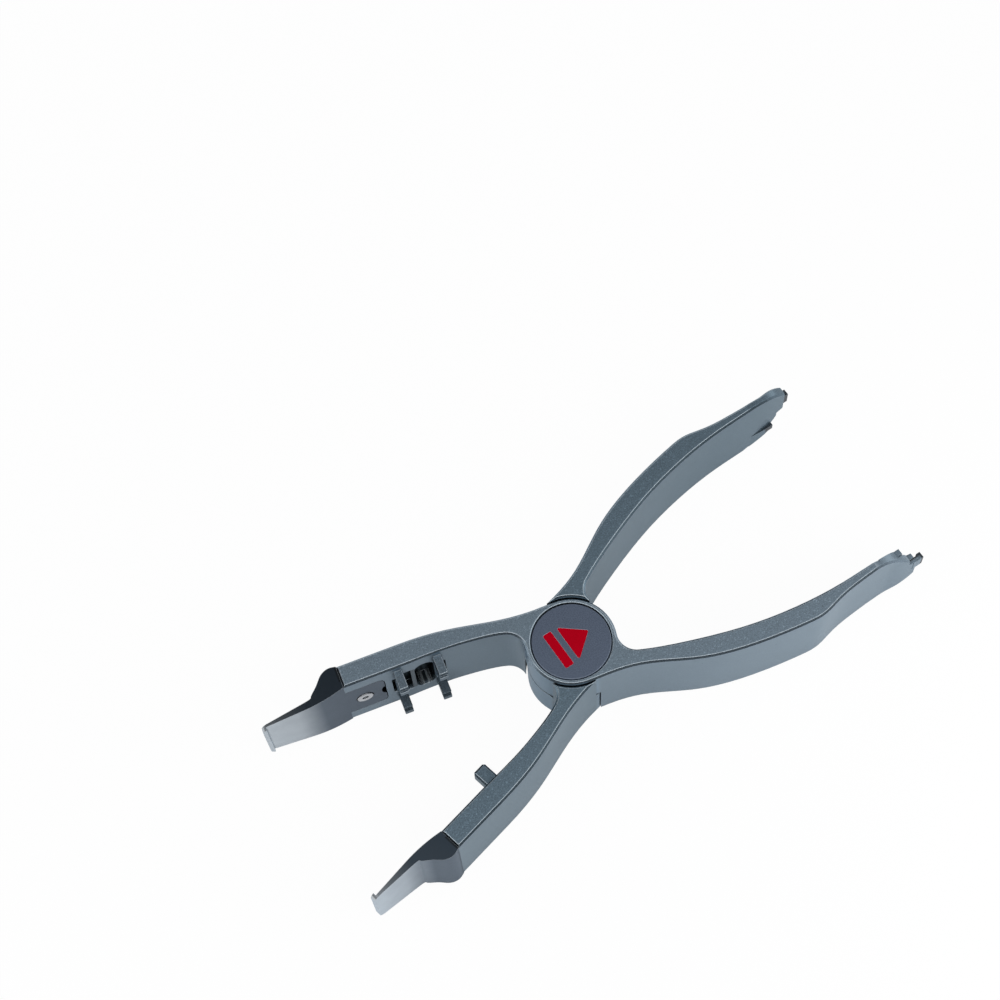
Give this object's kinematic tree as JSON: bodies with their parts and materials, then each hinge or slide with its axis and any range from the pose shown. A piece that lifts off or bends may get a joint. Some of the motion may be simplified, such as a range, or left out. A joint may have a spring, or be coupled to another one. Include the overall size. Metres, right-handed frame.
{
  "type": "keycap puller",
  "caption": "Crossed metal levers on a sprung pivot, with keycap claws and a switch opener on the jaws and switch-pulling hooks at the handle ends.",
  "frame": {"origin": "pivot axis, on the face of the hub that the tool rests on", "axes": "+X along the handles, away from the jaws; +Y towards the jaw with the prongs; +Z along the pivot, up"},
  "size_m": [0.131, 0.0478, 0.019],
  "materials": {
    "cast_alloy": "bead-blasted and anodised gunmetal grey",
    "cover_plate": "satin blue-grey",
    "red_enamel": "satin red enamel",
    "claw_steel": "satin ground steel",
    "screw_steel": "bright steel",
    "hook_steel": "blackened steel",
    "pivot_steel": "oiled steel",
    "washer_bronze": "plain bronze"
  },
  "bodies": {
    "lever_a_body": {"lever_a": "cast_alloy", "medallion": "cover_plate", "pull_mark": "red_enamel", "pivot_bolt": "pivot_steel", "pivot_nut": "pivot_steel", "thrust_washer": "washer_bronze", "return_spring": "pivot_steel", "keycap_claw_a": "claw_steel", "claw_screw_a": "screw_steel", "switch_hook_a": "hook_steel", "hook_tooth_a": "hook_steel"},
    "lever_b_body": {"lever_b": "cast_alloy", "bottom_cap": "cover_plate", "keycap_claw_b": "claw_steel", "claw_screw_b": "screw_steel", "switch_hook_b": "hook_steel", "hook_tooth_b": "hook_steel"}
  },
  "joints": [
    {"name": "pivot", "type": "hinge", "parent": "lever_a_body", "child": "lever_b_body", "pos_m": [0, 0, 0.0095], "axis": [0, 0, 1], "range_deg": [-33, 0], "stiffness_Nm_per_rad": 0.12, "springref_deg": 20.05}
  ]
}
